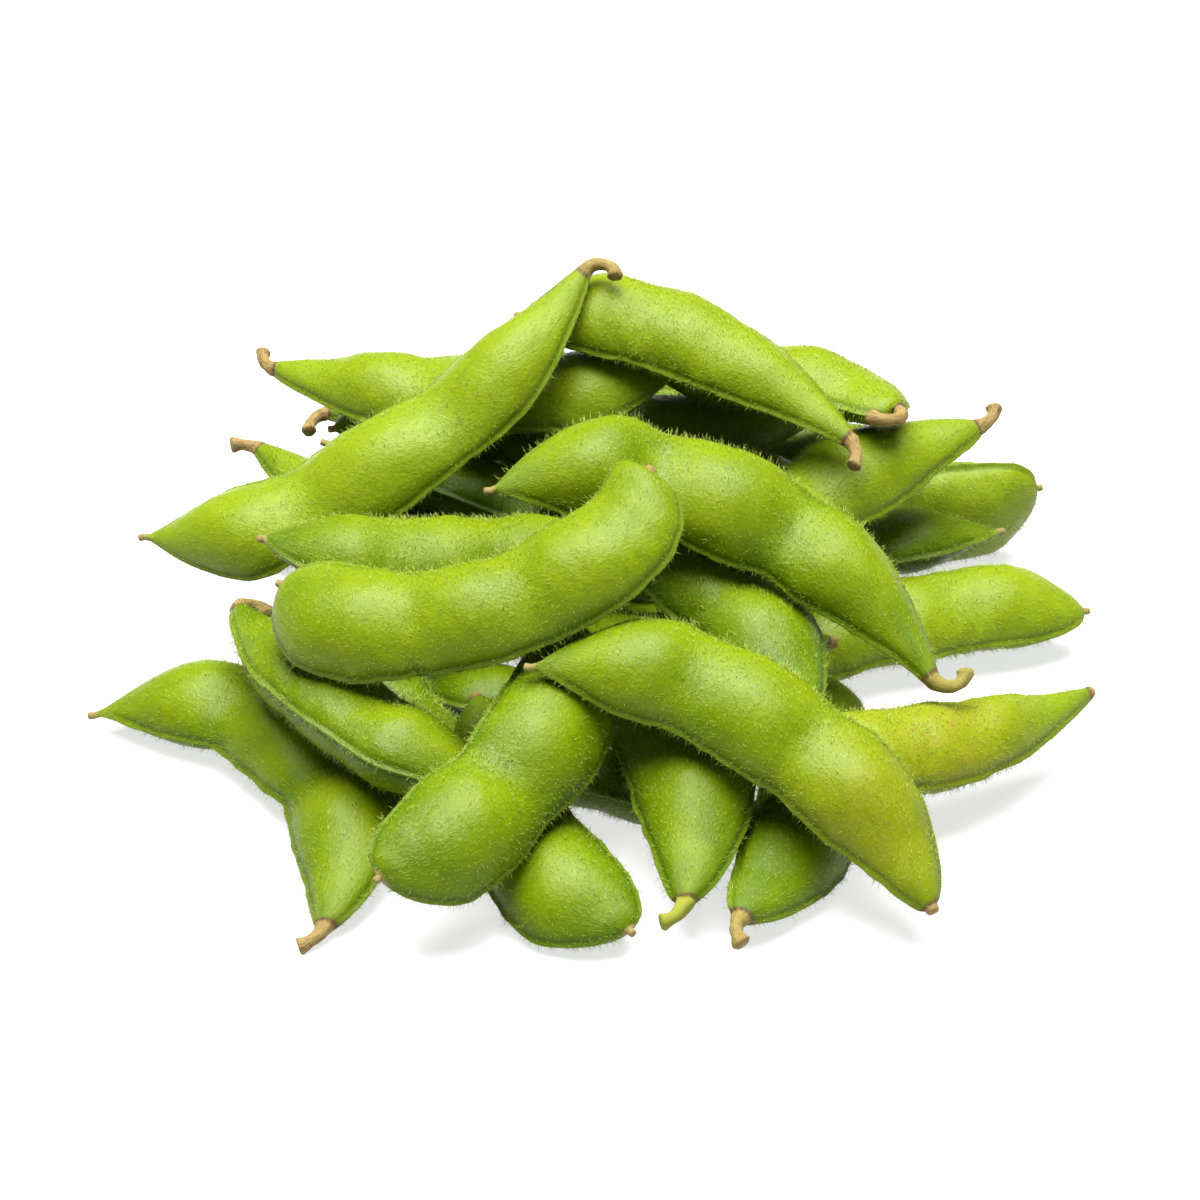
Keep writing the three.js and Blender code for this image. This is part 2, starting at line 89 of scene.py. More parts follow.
# name: length, width, beans, bend, beak, neck, hook, lean. Lengths in mm, angles in degrees.
PODS = {
    "base_back": (64, 14, 3, 15, 12, 22, 0, 0),
    "base_right": (56, 14, 3, -20, 12, 22, 0, 0),
    "base_middle": (60, 14, 3, 20, 12, 22, 0, 0),
    "base_front": (56, 13, 3, 15, 12, 22, 0, 0),
    "base_left": (54, 13, 2, 20, 12, 22, 0, 0),
    "left_bent": (69, 15, 3, -90, 18, 24, 50, 180),
    "dark_left": (42, 13, 2, 15, 12, 22, 0, 0),
    "dark_front": (40, 12, 2, 20, 12, 22, 0, 0),
    "front_tip": (46, 15, 2, -20, 9, 22, 0, 0),
    "front_steep": (54, 16, 3, -35, 12, 24, 60, 180),
    "front_lean": (54, 14, 3, -20, 12, 20, 70, 0),
    "right_flat": (54, 14, 3, 15, 10, 22, 0, 0),
    "right_low": (50, 14, 3, 15, 14, 32, 0, 0),
    "right_thin": (44, 12, 2, 10, 14, 22, 0, 0),
    "right_blunt": (44, 16, 2, -20, 8, 14, 0, 0),
    "back_left": (56, 14, 3, 20, 12, 22, 0, 0),
    "back_stem": (58, 13, 3, 10, 12, 26, 100, 0),
    "back_right": (60, 13, 3, -20, 12, 26, 80, 0),
    "left_stem": (46, 14, 2, 20, 12, 28, 60, 0),
    "left_under": (54, 14, 3, 15, 12, 22, 0, 0),
    "fill_c": (54, 14, 3, -20, 12, 22, 0, 0),
    "fill_g": (54, 14, 3, -20, 12, 22, 0, 0),
    "gap_front": (50, 13, 2, 20, 12, 22, 0, 0),
    "left_hook": (52, 15, 3, -15, 14, 26, 190, 180),
    "under_right": (50, 15, 3, -20, 12, 16, 0, 0),
    "front_rise": (46, 15, 2, 25, 8, 12, 0, 0),
    "front_big": (62, 15, 3, -45, 18, 22, 0, 0),
    "back_low": (56, 14, 3, -15, 12, 22, 0, 0),
    "fill_d": (54, 14, 3, 15, 12, 22, 0, 0),
    "gap_side": (48, 14, 3, -15, 12, 22, 0, 0),
    "right_up": (48, 15, 2, -20, 12, 24, 70, 0),
    "back_curl": (42, 14, 2, -20, 12, 12, 180, 180),
    "top_back": (60, 15, 3, -12, 14, 28, 70, 180),
    "top_right": (52, 14, 3, -30, 12, 32, 70, 180),
    "top_arch": (68, 16, 3, -55, 18, 32, 150, 0),
    "top_long": (75, 15, 3, 40, 18, 30, 150, 180),
    "top_cup": (58, 15, 3, 85, 8, 8, 0, 0),
}
COLUMNS = ("length", "width", "beans", "bend", "beak", "neck", "hook", "lean")

# Pods in full view carry all their down, the others less.
IN_VIEW = {
    "left_bent", "front_tip", "front_steep", "front_lean", "right_flat", "right_low", "right_thin",
    "right_blunt", "left_stem", "left_under", "left_hook", "under_right", "front_rise", "front_big",
    "gap_front", "gap_side", "right_up", "back_curl", "top_back", "top_right", "top_arch", "top_long",
    "top_cup", "dark_left", "dark_front", "back_low", "back_stem", "back_right", "back_left",
    "fill_d",
}
HAIRS_IN_VIEW = 3300
HAIRS_HIDDEN = 700

# How light and how yellow a pod's skin is, partly its own colour and partly painted light: below 0 it is
# deeper green, above 0 more yellow-green, and from 0.3 on it has a paler painted highlight too. The named
# pods on top of the heap have high values as painted highlight, those down in the gaps low ones as painted
# shade. A pod that isn't named draws its own value: USUAL_PALE in view, else the range below it, painted
# shade.
USUAL_PALE = (-0.4, 0.2)
# painted shade: the pods beneath the heap are made deeper green
BENEATH_PAINTED_SHADE = (-2.2, -1.4)
TONE_AND_PAINTED_LIGHT = {
    "top_long": 0.9, "top_back": 0.8, "top_right": 0.7, "top_cup": 0.5, "top_arch": 0.2,
    "back_curl": 0.7, "right_blunt": 1.1, "right_up": 0.7, "right_flat": 0.8, "right_low": 0.8,
    "left_stem": 0.5, "left_bent": 0.3, "left_hook": -0.3, "left_under": -0.3, "front_big": 0.4,
    "front_steep": -0.3, "front_tip": -0.3, "front_lean": -0.4, "under_right": -0.9, "gap_side": -0.2,
    "gap_front": -1.2, "dark_left": -2, "dark_front": -2,
}

# How green a pod's stem still is. The rest are dry.
GREEN_STEM = {"front_steep": 0.9, "top_long": 0.15, "front_lean": 0.2, "top_arch": 0.4}

# Where a pod has started to turn yellow, in mm from the beak, and how far it has turned.
YELLOWING = {"right_low": (22, 0.55), "front_big": (52, 0.35)}
YELLOW_REACH = 11  # mm to each side of that place


# ---------------------------------------------------------------- the pod's form
def bean_places(pod):
    """Distances from the beak to the middle of each bean."""
    last = pod["length"] - LAST_BEAN
    step = (last - FIRST_BEAN) / max(1, pod["beans"] - 1)
    return [FIRST_BEAN + i * step for i in range(pod["beans"])]


def fullness(pod, distance):
    """1 over a bean and near 0 between two, at each distance from the beak."""
    total = np.zeros_like(distance)
    for place in bean_places(pod):
        off = np.abs(distance - place) / BEAN_REACH
        swell = np.cos(np.minimum(off, 1) * math.pi / 2).clip(0) ** BEAN_POWER
        total += np.where(off < 1, swell, 0)
    return np.minimum(1, total)


def inner(pod):
    """1 where the inner side of the bend is on the left, -1 where it is on the right."""
    return math.copysign(1, pod["bend"])


def section(pod, distance):
    """Half width, half thickness and sideways shift of the pod at each distance from the beak."""
    full = fullness(pod, distance)
    from_beak = np.clip(distance / pod["beak"], 0, 1)
    from_neck = np.clip((pod["length"] - distance) / pod["neck"], 0, 1)
    rise = np.sin(from_beak * math.pi / 2) ** (pod["beak"] / SHARP_BEAK)
    fall = np.sin(from_neck * math.pi / 2) ** (pod["neck"] / SHARP_NECK)
    half = pod["width"] / 2
    end = NECK_RADIUS if pod["hook"] else SCAR_RADIUS
    body = half * rise * (1 - WAIST * (1 - full))
    across = end + (body - end) * fall
    thick = half * THICK_SHARE * rise * (FLAT_SHARE + (1 - FLAT_SHARE) * full)
    through = end + (thick - end) * fall
    beak_shift = BEAK_SHIFT * pod["beak"] / SHARP_BEAK * (1 - from_beak) ** SHIFT_POWER
    neck_shift = NECK_SHIFT * (1 - from_neck) ** SHIFT_POWER
    shift = inner(pod) * half * (beak_shift + neck_shift)
    return np.maximum(TIP_RADIUS, across), np.maximum(TIP_RADIUS, through), shift


def centre_line(pod):
    """A function that gives the place and heading of the centre line at each distance."""
    bend = math.radians(pod["bend"])
    headings = bend * ((np.arange(STEPS) + 0.5) / STEPS - 0.5)
    steps = np.stack([np.cos(headings), np.sin(headings)], 1) * pod["length"] / STEPS
    points = np.vstack([[0, 0], np.cumsum(steps, 0)])
    chord = math.atan2(points[-1, 1], points[-1, 0])
    back = np.array([[math.cos(chord), math.sin(chord)], [-math.sin(chord), math.cos(chord)]])
    points = points @ back.T
    points -= points.mean(0)

    def at(distance):
        share = np.clip(np.asarray(distance, float) / pod["length"], 0, 1)
        where = share * STEPS
        x = np.interp(where, np.arange(STEPS + 1), points[:, 0])
        y = np.interp(where, np.arange(STEPS + 1), points[:, 1])
        return x, y, bend * (share - 0.5) - chord

    return at


def lens(turn):
    """Height of the lens-shaped section at each turn round it, from -1 to 1."""
    up = np.sin(turn)
    return np.sign(up) * np.abs(up) ** EDGE_POWER


def body_points(pod, line, distance, turn, rib, lift):
    """Points of the body, one row for each distance and one column for each turn round it."""
    across, through, shift = (v[:, None] for v in section(pod, distance))
    x, y, angle = (v[:, None] for v in line(distance))
    side = shift + (across + rib * np.minimum(1, across / RIB_FADE)) * np.cos(turn)
    return np.stack(
        [x - side * np.sin(angle), y + side * np.cos(angle), through * lift], -1
    )


def end_frame(pod, line, distance):
    """The middle of the section at one end, and the ways along and across the pod there."""
    x, y, angle = (float(v) for v in line(distance))
    shift = float(section(pod, np.array([float(distance)]))[2][0])
    side = np.array([-math.sin(angle), math.cos(angle), 0])
    along = np.array([math.cos(angle), math.sin(angle), 0])
    return np.array([x, y, 0]) + shift * side, along, side


def stem_frames(pod, line, shares):
    """Middles of the stem's rings and the two directions across it at each share of its length."""
    start, line_along, line_side = end_frame(pod, line, pod["length"])
    slope = inner(pod) * NECK_SHIFT * SHIFT_POWER * pod["width"] / 2 / pod["neck"]
    angle = math.atan(slope)
    along = line_along * math.cos(angle) + line_side * math.sin(angle)
    side = line_side * math.cos(angle) - line_along * math.sin(angle)
    up = np.array([0, 0, 1.0])
    lean = math.radians(pod["lean"])
    towards = side * math.cos(lean) + up * math.sin(lean)
    axle = np.cross(along, towards)
    length = STEM_LENGTH + LENGTH_PER_DEGREE * pod["hook"] if pod["hook"] else SCAR_LENGTH
    whole = math.radians(pod["hook"] or 1)
    bow = length / whole
    middles, sides, ups = [], [], []
    for share in shares:
        turned = whole * share
        rise, run = 1 - math.cos(turned), math.sin(turned)
        middles.append(start + along * bow * run + towards * bow * rise)
        for kept, unit in ((sides, side), (ups, up)):
            kept.append(unit * (1 - rise) + np.cross(axle, unit) * run + axle * (axle @ unit) * rise)
    return np.array(middles), np.array(sides), np.array(ups)


def solid_corners(pod):
    """The corners of the pod's solid, in the pod's own frame."""
    line = centre_line(pod)
    beans = bean_places(pod)
    rings = list(SOLID_FIRST_RINGS)
    for place, following in zip(beans, beans[1:] + [None]):
        rings.append(place)
        if following is not None:
            rings += [place + (following - place) * share for share in SOLID_BEAN_SHARES]
    rings += [beans[-1] + (pod["length"] - beans[-1]) * share for share in SOLID_NECK_SHARES]
    turn = np.arange(SOLID_SIDES) / SOLID_SIDES * 2 * math.pi
    rib = np.where(np.abs(np.sin(turn)) < AT_SEAM, RIB, 0)
    points = [body_points(pod, line, np.array(rings), turn, rib, lens(turn)).reshape(-1, 3)]
    middles, sides, ups = stem_frames(pod, line, SOLID_STEM_SHARES if pod["hook"] else [1])
    for middle, side, up, share in zip(middles, sides, ups, SOLID_STEM_SHARES):
        radius = SOLID_KNOB_RADIUS if share > SOLID_KNOB_SHARE else SOLID_STEM_RADIUS
        if not pod["hook"]:
            radius = SCAR_RADIUS * SOLID_SCAR_SHARE
        points.append(
            middle + radius * (np.outer(np.cos(turn), side) + np.outer(np.sin(turn), up))
        )
    return np.vstack(points)


# ---------------------------------------------------------------- each pod's place in the heap
def best_turn(points, targets):
    """The turn and shift that bring points nearest to their targets."""
    a, b = points.mean(0), targets.mean(0)
    u, _, vt = np.linalg.svd((points - a).T @ (targets - b))
    keep = np.diag([1, 1, np.sign(np.linalg.det(vt.T @ u.T))])
    turn = vt.T @ keep @ u.T
    return turn, b - turn @ a


def axes_of(points):
    """Right-handed principal axes of points, the longest first."""
    _, _, vt = np.linalg.svd(points - points.mean(0), full_matrices=False)
    if np.linalg.det(vt) < 0:
        vt[2] *= -1
    return vt


FIT_ROUNDS = 40
FIT_SHARE = 80  # percent of the corners that guide a fit: those pressed flat on the floor don't
POOR_FIT = 0.05  # mm, a median gap above this is printed


def lie_of(pod, name):
    """The turn and shift that carry the pod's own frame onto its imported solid, in millimetres."""
    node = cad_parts["pod_" + name]
    solid = np.unique(np.round([v.co / MM for v in node.data.vertices], 3), axis=0)
    corners = solid_corners(pod)
    own, theirs = axes_of(corners), axes_of(solid)
    best = (math.inf, None, None)
    for signs in ((1, 1, 1), (1, -1, -1), (-1, 1, -1), (-1, -1, 1)):
        turn = theirs.T @ np.diag(signs) @ own
        shift = solid.mean(0) - turn @ corners.mean(0)
        for _ in range(FIT_ROUNDS):
            moved = corners @ turn.T + shift
            gaps = np.linalg.norm(moved[:, None] - solid[None], axis=2)
            nearest, gap = gaps.argmin(1), gaps.min(1)
            used = gap <= np.percentile(gap, FIT_SHARE)
            turn, shift = best_turn(corners[used], solid[nearest[used]])
        if np.median(gap) < best[0]:
            best = (float(np.median(gap)), turn, shift)
    if best[0] > POOR_FIT:
        print("poor fit", name, round(best[0], 3))
    return best[1:]


# ---------------------------------------------------------------- fine pods
NOISE_WAVES = 14
BROAD_WAVE = (8, 18)  # mm, shortest and longest of the broad swellings of the skin
CLOSE_WAVE = (2.2, 5)  # and of the closer ones
BROAD_SWELL = 0.028  # as a share of the section's size
CLOSE_SWELL = 0.014
CREASE_WAVE = (1.6, 3.2)  # creases across the waists
CREASE_SWELL = 0.014
BARK_WAVE = (1.2, 3.5)  # roughness of the stem
BARK_SWELL = 0.08

RIDGE_HALF = 0.26  # mm, half the width of the ridge along each seam
GROOVE_PLACE = 0.6  # mm above and below the seam
GROOVE_HALF = 0.2
GROOVE_DEPTH = 0.1
MARGIN_HALF = 1.0  # the darker skin along each seam
BEAN_CROWN = 0.06  # how much higher than the solid a bean's crown is, as a share
WAIST_DIP = 0.12  # and how much lower a waist is
WAIST_NARROW = 0.045  # and how much narrower all round
WAIST_HALF = 3.4  # mm, half the width of a waist
SMALL_END = 2.5  # mm, half thickness under which the skin's relief fades

CROWN_POWER = 1.5  # above 1 a bean's crown keeps further from the seams

PEG_PLACES = np.array([-0.85, -0.75, -0.4, -0.1])  # mm from the beak, rings of its dry peg
PEG_RADII = np.array([0.3, 0.48, 0.52, 0.5])
BEAK_REACH = 1.1  # mm of dry skin behind the peg, which fades out over the same length
STEM_REACH = 1.4  # mm of dry skin before the stem
STEM_FADE = 2.0  # mm over which it fades out
# Radii in mm at shares of the length of a stem, and of the scar that one leaves.
STEM_PROFILE = ((0, 1.2), (0.1, 1.12), (0.3, 0.92), (0.65, 0.8), (0.85, 0.95), (0.95, 1.15), (1, 0.95))
SCAR_PROFILE = ((0, 0.9), (0.6, 0.85), (1, 0.6))

# How the skin's pattern is laid on a pod.
STEM_FLOW = 8  # mm of pattern along a stem
FLOW_SIDE_PARTS = 2  # it reaches to each side by the pod's width over this
FLOW_TOP_PARTS = 3  # and up and down by the pod's width over this


def waves(points, span, draw):
    """A smooth random field over points: waves of random directions and lengths, about -1 to 1."""
    total = np.zeros(points.shape[:-1])
    for _ in range(NOISE_WAVES):
        way = draw.normal(size=3)
        way *= 2 * math.pi / (np.linalg.norm(way) * draw.uniform(*span))
        total += np.sin(points @ way + draw.uniform(0, 2 * math.pi))
    return total / math.sqrt(NOISE_WAVES)


def near(value, place, half):
    """1 where a value is at a place, falling off over a half width."""
    return np.exp(-(((value - place) / half) ** 2))


def waists(pod, distance):
    """1 midway between two beans, falling off to each side."""
    beans = bean_places(pod)
    return sum(near(distance, (a + b) / 2, WAIST_HALF) for a, b in zip(beans, beans[1:]))


def dry(distance, reach, fade):
    """1 on the dry end of a pod, fading to 0 at its reach from that end."""
    return np.clip((reach - distance) / fade, 0, 1)


def fine_pod(pod, draw):
    """Rings of points of the fine pod, and what its finish needs to know at each of them."""
    line = centre_line(pod)
    even = np.linspace(0, 1, BODY_RINGS)
    crowded = 0.5 - 0.5 * np.cos(math.pi * even)
    distance = pod["length"] * ((1 - END_CROWDING) * even + END_CROWDING * crowded)
    steps = np.arange(SIDES) / SIDES * 2 * math.pi
    turn = steps - SEAM_CROWDING * np.sin(2 * steps)
    across, through, _ = section(pod, distance)
    height = through[:, None] * np.abs(lens(turn))
    size = np.minimum(1, through / SMALL_END)[:, None]
    ridge = near(height, 0, RIDGE_HALF)
    groove = near(height, GROOVE_PLACE, GROOVE_HALF) * size
    full = fullness(pod, distance)[:, None]
    waist = waists(pod, distance)[:, None]
    crown = np.abs(np.sin(turn)) ** CROWN_POWER
    lift = lens(turn) * (1 + crown * (BEAN_CROWN * full - WAIST_DIP * waist))
    body = body_points(pod, line, distance, turn, RIB * ridge - GROOVE_DEPTH * groove, lift)
    x, y, _ = line(distance)
    centre = np.stack([x, y, np.zeros_like(x)], -1)[:, None]
    swell = BROAD_SWELL * waves(body, BROAD_WAVE, draw) + CLOSE_SWELL * waves(body, CLOSE_WAVE, draw)
    crease = waves(body, CREASE_WAVE, draw) * waist
    scale = 1 + (swell + CREASE_SWELL * crease) * size - WAIST_NARROW * waist
    body = centre + (body - centre) * scale[..., None]

    # beak: a small dry peg
    tip, ahead, side = end_frame(pod, line, 0)
    around = np.outer(np.cos(turn), side) + np.outer(np.sin(turn), [0, 0, 1.0])
    pegs = tip + PEG_PLACES[:, None, None] * ahead + PEG_RADII[:, None, None] * around
    body[0] = tip + TIP_RADIUS * around

    # stem: a bent, rough stalk that ends in a knob, or the scar that it left
    count, profile = (STEM_RINGS, STEM_PROFILE) if pod["hook"] else (SCAR_RINGS, SCAR_PROFILE)
    shares = np.linspace(0, 1, count + 1)[1:]
    middles, sides, ups = stem_frames(pod, line, shares)
    radius = np.interp(shares, *zip(*profile))
    stem = middles[:, None] + radius[:, None, None] * (
        np.cos(turn)[None, :, None] * sides[:, None] + np.sin(turn)[None, :, None] * ups[:, None]
    )
    rough = 1 + BARK_SWELL * waves(stem, BARK_WAVE, draw)
    stem = middles[:, None] + (stem - middles[:, None]) * rough[..., None]

    points = np.concatenate([pegs, body, stem])
    along = np.concatenate([PEG_PLACES, distance, pod["length"] + shares * STEM_FLOW])
    girth = np.concatenate([PEG_PLACES * 0, across, shares * 0])

    def on_body(values):
        """Values on the body's rings, and 0 on the rings of the beak and the stem."""
        return np.pad(np.broadcast_to(values, height.shape), ((len(pegs), count), (0, 0)))

    def all_round(values):
        return np.repeat(values[:, None], SIDES, 1)

    looks = {
        "ridge": on_body(ridge),
        "groove": on_body(groove),
        "margin": on_body(near(height, 0, MARGIN_HALF) * size),
        "beak": all_round(dry(along + girth, TIP_RADIUS + BEAK_REACH, BEAK_REACH)),
        "stem": all_round(dry(pod["length"] - along + girth, NECK_RADIUS + STEM_REACH, STEM_FADE)),
        "bean": on_body(full * crown),
        "waist": on_body(waist),
    }
    flow = np.stack([
        all_round(along),
        np.broadcast_to(np.cos(turn) * pod["width"] / FLOW_SIDE_PARTS, points.shape[:2]),
        np.broadcast_to(np.sin(turn) * pod["width"] / FLOW_TOP_PARTS, points.shape[:2]),
    ], -1)
    return points, looks, flow


def ring_faces(rings):
    """Quads between rings and fans that close both ends, facing out."""
    at = np.arange(rings * SIDES).reshape(rings, SIDES)
    after = np.roll(at, -1, 1)
    quads = np.stack([at[:-1], after[:-1], after[1:], at[1:]], -1).reshape(-1, 4)
    first, last = rings * SIDES, rings * SIDES + 1
    fans = [(first, int(b), int(a)) for a, b in zip(at[0], after[0])]
    fans += [(last, int(a), int(b)) for a, b in zip(at[-1], after[-1])]
    return quads.tolist() + fans


def lattice_normals(points):
    """Outward normals on a lattice of rings."""
    down = np.gradient(points, axis=0)
    round_it = np.roll(points, -1, 1) - np.roll(points, 1, 1)
    normal = np.cross(round_it, down)
    return normal / np.linalg.norm(normal, axis=-1, keepdims=True).clip(1e-9)


def make_mesh(name, points, faces, material):
    """A smooth-shaded object in the scene, from points in millimetres."""
    mesh = bpy.data.meshes.new(name)
    mesh.from_pydata((points * MM).tolist(), [], faces)
    mesh.materials.append(material)
    mesh.shade_smooth()
    piece = bpy.data.objects.new(name, mesh)
    bpy.context.scene.collection.objects.link(piece)
    return piece


# ---------------------------------------------------------------- the down
HAIR_RADIUS = 0.04  # mm
HAIR_SUNK = 0.15  # mm, how deep a hair's root is
HAIR_LENGTH = (0.5, 1.15)  # mm, on the faces
SEAM_HAIR_LENGTH = (0.8, 1.5)  # mm, along the seams
SEAM_CROWD = 2.0  # how much closer the down stands along the seams
WAIST_CROWD = 1.2  # and at the waists
FLAT_LIE = -0.6  # how far the down on the faces leans towards the beak
LIE_SPREAD = 0.6
SEAM_UPRIGHT = 0.7  # share of that lean which a hair on a seam loses
HAIR_STRAY = 0.3  # how far a hair strays in any direction
BARE_FROM = 0.05  # how dry the skin is where the down ends


def hairs(name, points, looks, count, material, draw):
    """A pod's down: thin three-sided spikes that stand out of the skin."""
    normals = lattice_normals(points)
    grow = np.gradient(points, axis=0)
    grow /= np.linalg.norm(grow, axis=-1, keepdims=True).clip(1e-9)
    area = np.linalg.norm(
        np.cross(points[1:] - points[:-1], np.roll(points, -1, 1)[:-1] - points[:-1]), axis=-1
    )
    bare = (looks["stem"][:-1] > BARE_FROM) | (looks["beak"][:-1] > BARE_FROM)
    crowd = 1 + SEAM_CROWD * looks["ridge"][:-1] + WAIST_CROWD * looks["waist"][:-1]
    weight = area * crowd * ~bare
    chosen = draw.choice(weight.size, count, p=(weight / weight.sum()).ravel())
    ring, side = np.unravel_index(chosen, weight.shape)
    u, v = draw.random((2, count, 1))
    after = (side + 1) % SIDES

    def between(values):
        one = values[ring, side] * (1 - u) + values[ring + 1, side] * u
        two = values[ring, after] * (1 - u) + values[ring + 1, after] * u
        return one * (1 - v) + two * v

    root, normal, along = between(points), between(normals), between(grow)
    seam = looks["ridge"][ring, side][:, None]
    short = draw.uniform(*HAIR_LENGTH, (count, 1))
    long = draw.uniform(*SEAM_HAIR_LENGTH, (count, 1))
    length = short * (1 - seam) + long * seam
    lie = draw.normal(FLAT_LIE, LIE_SPREAD, (count, 1)) * (1 - SEAM_UPRIGHT * seam)
    way = normal + along * lie + draw.normal(0, HAIR_STRAY, (count, 3))
    way /= np.linalg.norm(way, axis=1, keepdims=True)
    side_way = np.cross(way, draw.normal(size=(count, 3)))
    side_way /= np.linalg.norm(side_way, axis=1, keepdims=True)
    other = np.cross(way, side_way)
    foot = root - normal * HAIR_SUNK
    corners = [
        foot + HAIR_RADIUS * (side_way * math.cos(a) + other * math.sin(a))
        for a in (0, 2 * math.pi / 3, 4 * math.pi / 3)
    ]
    corners.append(root + way * length)
    everything = np.stack(corners, 1)
    above = everything[..., 2].min(1) > 0
    everything = everything[above]
    start = np.arange(len(everything))[:, None] * 4
    spike = np.array([[0, 1, 3], [1, 2, 3], [2, 0, 3], [0, 2, 1]])
    faces = (start[:, None] + spike[None]).reshape(-1, 3)
    return make_mesh("hairs_" + name, everything.reshape(-1, 3), faces.tolist(), material)


# ---------------------------------------------------------------- finish
# Linear colours. The studio light is strong, so they are darker than the photograph shows them.
DEEP_GREEN = (0.052, 0.095, 0.0004)
YELLOW_GREEN = (0.106, 0.15, 0.0006)
FRESH_GREEN = (0.066, 0.12, 0.0005)
# painted highlight: a paler green on the pods lying on top of the heap
PAINTED_HIGHLIGHT_GREEN = (0.165, 0.225, 0.008)
# painted glints: small light flecks on the raised grain and wrinkles
PAINTED_GLINT_GREEN = (0.19, 0.24, 0.012)
# lighter over the bean crowns: partly the skin's own colour there, partly painted highlight
BEAN_TONE_AND_HIGHLIGHT = (0.12, 0.162, 0.0008)
MARGIN_GREEN = (0.04, 0.082, 0.0005)
RIDGE_GREEN = (0.09, 0.13, 0.01)
# painted shade in the groove beside each seam
GROOVE_SHADE_GREEN = (0.012, 0.03, 0.001)
YELLOWED = (0.18, 0.165, 0.008)
SPECK_TAN = (0.18, 0.115, 0.025)
STEM_TAN = (0.23, 0.165, 0.055)
STEM_GREEN = (0.17, 0.19, 0.015)
STEM_BROWN = (0.085, 0.047, 0.017)
COLLAR_BROWN = (0.05, 0.019, 0.015)
BEAK_TAN = (0.2, 0.155, 0.05)
HAIR_PALE = (0.24, 0.30, 0.03)

# How strongly each layer of the skin's colour lies over those before it.
TONE_AND_LIGHT_PULL = 0.22  # how much a pod's value, its own colour with painted highlight and painted shade, shifts its green towards yellow
# the most of that painted highlight on the pods on top
PAINTED_HIGHLIGHT_MOST = 0.6
FRESH_WEIGHT = 0.35
BEAN_TONE_AND_HIGHLIGHT_WEIGHT = 0.5
WRINKLE_GLINT_WEIGHT = 0.2
PAINTED_GLINT_WEIGHT = 0.5
SPECK_WEIGHT = 0.7
MARGIN_WEIGHT = 0.3
GROOVE_SHADE_WEIGHT = 0.4
RIDGE_WEIGHT = 0.75

SKIN_ROUGHNESS = (0.27, 0.42)
STEM_ROUGHER = 0.25
SKIN_SPECULAR = 0.12
SKIN_DEPTH = 1.0 * MM  # how far light goes under the skin
FINE_RELIEF = 0.6  # height of the fine grain against the wrinkles
BUMP_STRENGTH = 0.48
BUMP_HEIGHT = 0.24 * MM


def new_material(name):
    material = bpy.data.materials.new(name)
    material.use_nodes = True
    nodes, links = material.node_tree.nodes, material.node_tree.links
    return material, nodes, links, nodes["Principled BSDF"]


